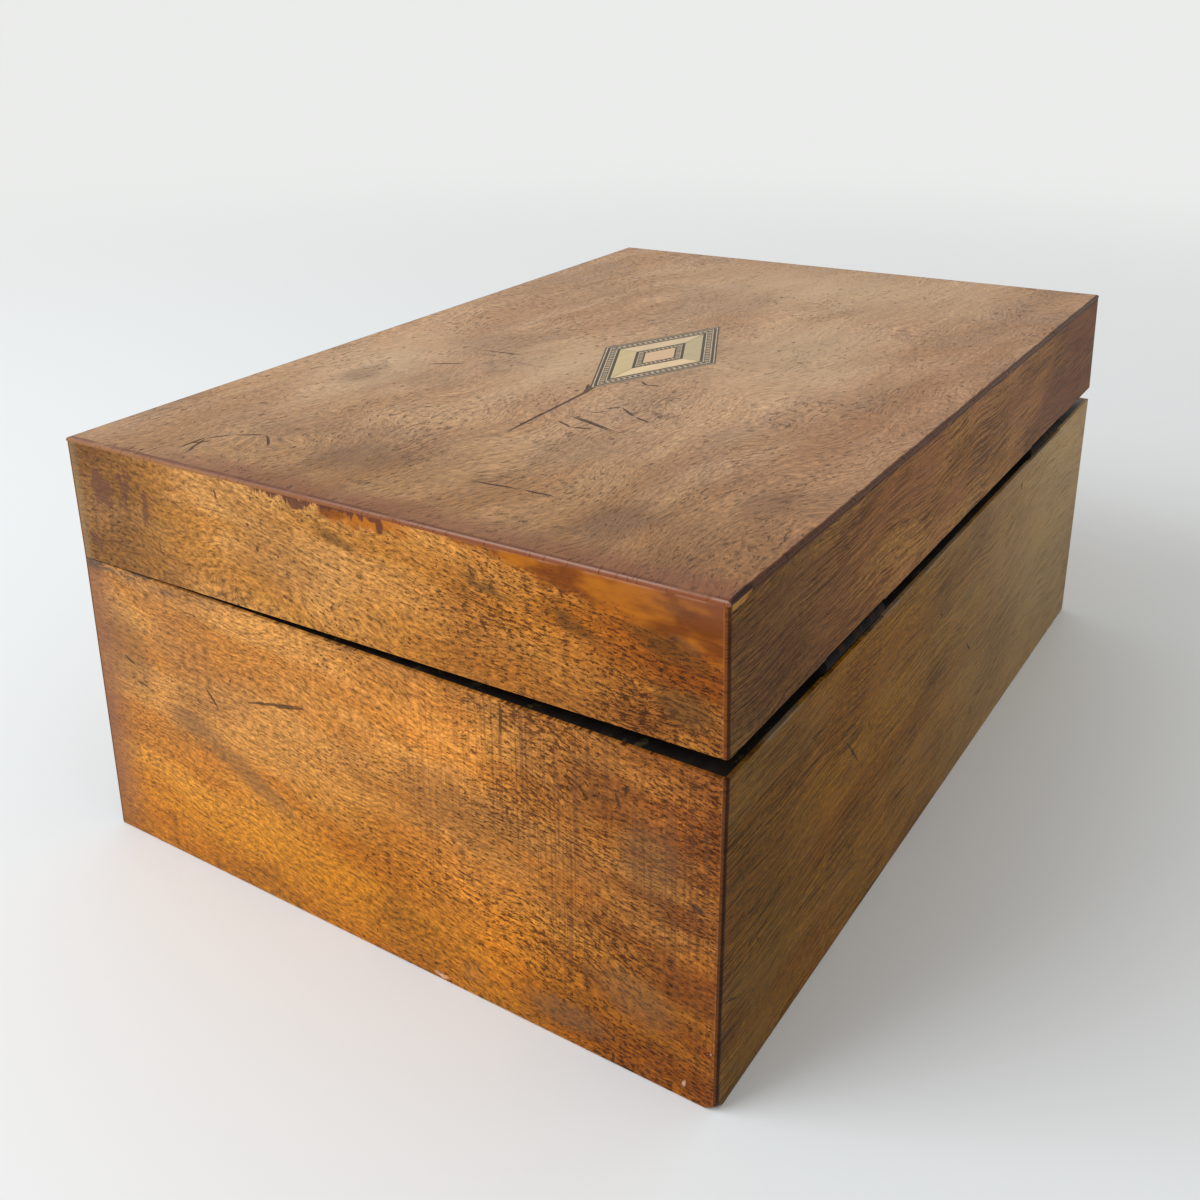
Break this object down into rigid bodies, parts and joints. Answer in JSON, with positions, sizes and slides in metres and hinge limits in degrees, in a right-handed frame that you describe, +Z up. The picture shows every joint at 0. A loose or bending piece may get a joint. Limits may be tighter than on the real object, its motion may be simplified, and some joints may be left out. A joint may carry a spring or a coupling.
{
  "type": "sewing box",
  "caption": "Antique veneered wooden sewing box with a hinged, inlaid lid, a lock and a lift-out compartment tray.",
  "frame": {"origin": "centre of the underside, which the box rests on", "axes": "+X along the length, +Y towards the back where the hinges are, +Z up; the lock is in the front wall, on the -Y side"},
  "size_m": [0.29, 0.201, 0.1267],
  "materials": {
    "walnut_veneer": "worn varnish",
    "carcass_pine": "bare, aged",
    "ebonised_rim": "black polish",
    "tray_wood": "thin varnish",
    "lining_paper": "matt, faded",
    "stiff_card": "matt",
    "padded_silk": "faded sheen",
    "dark_iron": "dark tarnish",
    "screw_iron": "dull",
    "lock_brass": "tarnished",
    "bone": "polished, yellowed",
    "inlay_banding_wood": "varnished",
    "inlay_shell": "polished",
    "inlay_centre_wood": "varnished"
  },
  "bodies": {
    "base": {"base_front_board": "carcass_pine", "base_back_board": "carcass_pine", "base_left_board": "carcass_pine", "base_right_board": "carcass_pine", "base_bottom_board": "carcass_pine", "base_front_veneer": "walnut_veneer", "base_back_veneer": "walnut_veneer", "base_left_veneer": "walnut_veneer", "base_right_veneer": "walnut_veneer", "base_rim": "ebonised_rim", "base_floor_paper": "lining_paper", "base_wall_paper": "lining_paper", "tray_ledge_front": "tray_wood", "tray_ledge_back": "tray_wood", "tray_ledge_left": "tray_wood", "tray_ledge_right": "tray_wood", "lock_case": "lock_brass", "lock_selvedge": "lock_brass", "lock_screws": "screw_iron", "keyhole_escutcheon": "bone", "left_hinge_lower_leaf": "dark_iron", "right_hinge_lower_leaf": "dark_iron", "hinge_pins": "dark_iron", "lower_hinge_screws": "screw_iron"},
    "bolt": {"lock_bolt": "screw_iron"},
    "lid": {"lid_front_board": "carcass_pine", "lid_back_board": "carcass_pine", "lid_left_board": "carcass_pine", "lid_right_board": "carcass_pine", "lid_top_board": "carcass_pine", "lid_front_veneer": "walnut_veneer", "lid_back_veneer": "walnut_veneer", "lid_left_veneer": "walnut_veneer", "lid_right_veneer": "walnut_veneer", "lid_top_veneer": "walnut_veneer", "lid_rim": "ebonised_rim", "inlay_banding": "inlay_banding_wood", "inlay_panels": "inlay_shell", "inlay_inner_band": "inlay_banding_wood", "inlay_centre": "inlay_centre_wood", "left_hinge_upper_leaf": "dark_iron", "right_hinge_upper_leaf": "dark_iron", "upper_hinge_screws": "screw_iron", "link_plate": "lock_brass", "link_plate_screws": "screw_iron", "lid_wall_paper": "lining_paper", "lid_pad_board": "stiff_card", "lid_silk_pad": "padded_silk"},
    "tray": {"tray_bottom": "tray_wood", "tray_front_wall": "tray_wood", "tray_back_wall": "tray_wood", "tray_end_walls": "tray_wood", "tray_cross_dividers": "tray_wood", "tray_bay_dividers": "tray_wood", "pincushion": "padded_silk"},
    "left_pocket": {"left_pocket_lid": "tray_wood", "left_pocket_knob": "bone"},
    "right_pocket": {"right_pocket_lid": "tray_wood", "right_pocket_knob": "bone"}
  },
  "joints": [
    {"name": "lid_hinge", "type": "hinge", "parent": "base", "child": "lid", "pos_m": [0, 0.0982, 0.08933], "axis": [-1, 0, 0], "range_deg": [0, 100]},
    {"name": "bolt_slide", "type": "slide", "parent": "base", "child": "bolt", "axis": [1, 0, 0], "range_m": [0, 0.0035]},
    {"name": "tray_lift", "type": "slide", "parent": "base", "child": "tray", "axis": [0, 0, 1], "range_m": [0, 0.01]},
    {"name": "left_pocket_lift", "type": "slide", "parent": "tray", "child": "left_pocket", "axis": [0, 0, 1], "range_m": [0, 0.003]},
    {"name": "right_pocket_lift", "type": "slide", "parent": "tray", "child": "right_pocket", "axis": [0, 0, 1], "range_m": [0, 0.003]}
  ]
}
